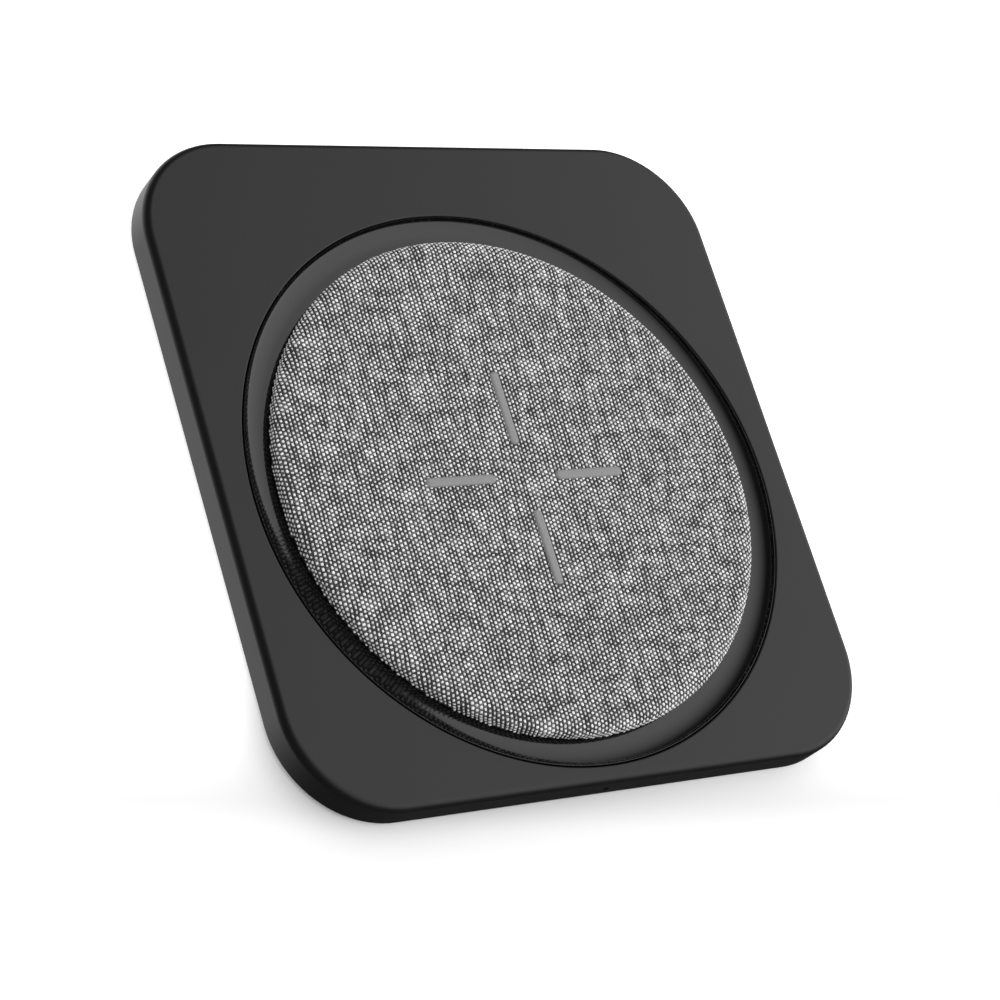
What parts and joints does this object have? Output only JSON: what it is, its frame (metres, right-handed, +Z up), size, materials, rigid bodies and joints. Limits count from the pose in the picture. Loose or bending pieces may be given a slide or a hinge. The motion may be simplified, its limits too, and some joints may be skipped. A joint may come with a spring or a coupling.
{
  "type": "wireless charging pad",
  "caption": "Flat wireless charging pad: a thin black rounded-rectangle body with a raised grey fabric charging disc set in a glossy round groove, grip bars on the disc and rubber feet below.",
  "frame": {"origin": "middle of the pad's outline, on the surface it stands on", "axes": "+Z up out of the charging face, -Y the edge with the status light, +Y the edge with the USB-C port, +X to the right"},
  "size_m": [0.1, 0.105, 0.0076],
  "materials": {
    "matte_shell": "fine matte moulded black plastic",
    "gloss_black": "polished black plastic",
    "grey_fabric": "two-tone grey plain weave",
    "grey_silicone": "satin grey silicone",
    "black_rubber": "matte",
    "inner_moulding": "moulded, unpolished",
    "zinc_steel": "zinc plated",
    "copper_litz": null,
    "ferrite": null,
    "foam": "open-cell foam",
    "board_laminate": "solder mask over glass epoxy",
    "chip_epoxy": "moulded epoxy",
    "ceramic": "fired ceramic",
    "pale_plastic": "moulded, unpolished",
    "clear_pipe": "clear moulded light guide"
  },
  "bodies": {
    "root": {"board_screw_left": "zinc_steel", "board_screw_right": "zinc_steel", "bottom_cover": "matte_shell", "bridge_ic": "chip_epoxy", "coil_lead_inner": "copper_litz", "coil_lead_outer": "copper_litz", "controller_ic": "chip_epoxy", "cover_screw_1": "zinc_steel", "cover_screw_2": "zinc_steel", "cover_screw_3": "zinc_steel", "cover_screw_4": "zinc_steel", "disc_carrier": "inner_moulding", "fabric_cover": "grey_fabric", "ferrite_sheet": "ferrite", "foam_pad": "foam", "gloss_ring": "gloss_black", "grip_bar_bottom": "grey_silicone", "grip_bar_left": "grey_silicone", "grip_bar_right": "grey_silicone", "grip_bar_top": "grey_silicone", "input_capacitor_1": "ceramic", "input_capacitor_2": "ceramic", "led_board": "board_laminate", "led_ribbon": "pale_plastic", "light_pipe": "clear_pipe", "main_board": "board_laminate", "resonance_capacitor_1": "ceramic", "resonance_capacitor_2": "ceramic", "resonance_capacitor_3": "ceramic", "resonance_capacitor_4": "ceramic", "ribbon_socket": "pale_plastic", "rubber_foot_1": "black_rubber", "rubber_foot_2": "black_rubber", "rubber_foot_3": "black_rubber", "rubber_foot_4": "black_rubber", "status_led": "pale_plastic", "supply_inductor": "zinc_steel", "thermistor": "chip_epoxy", "top_shell": "matte_shell", "transmit_coil": "copper_litz", "usb_c_shell": "zinc_steel", "usb_c_tongue": "chip_epoxy"}
  },
  "joints": []
}
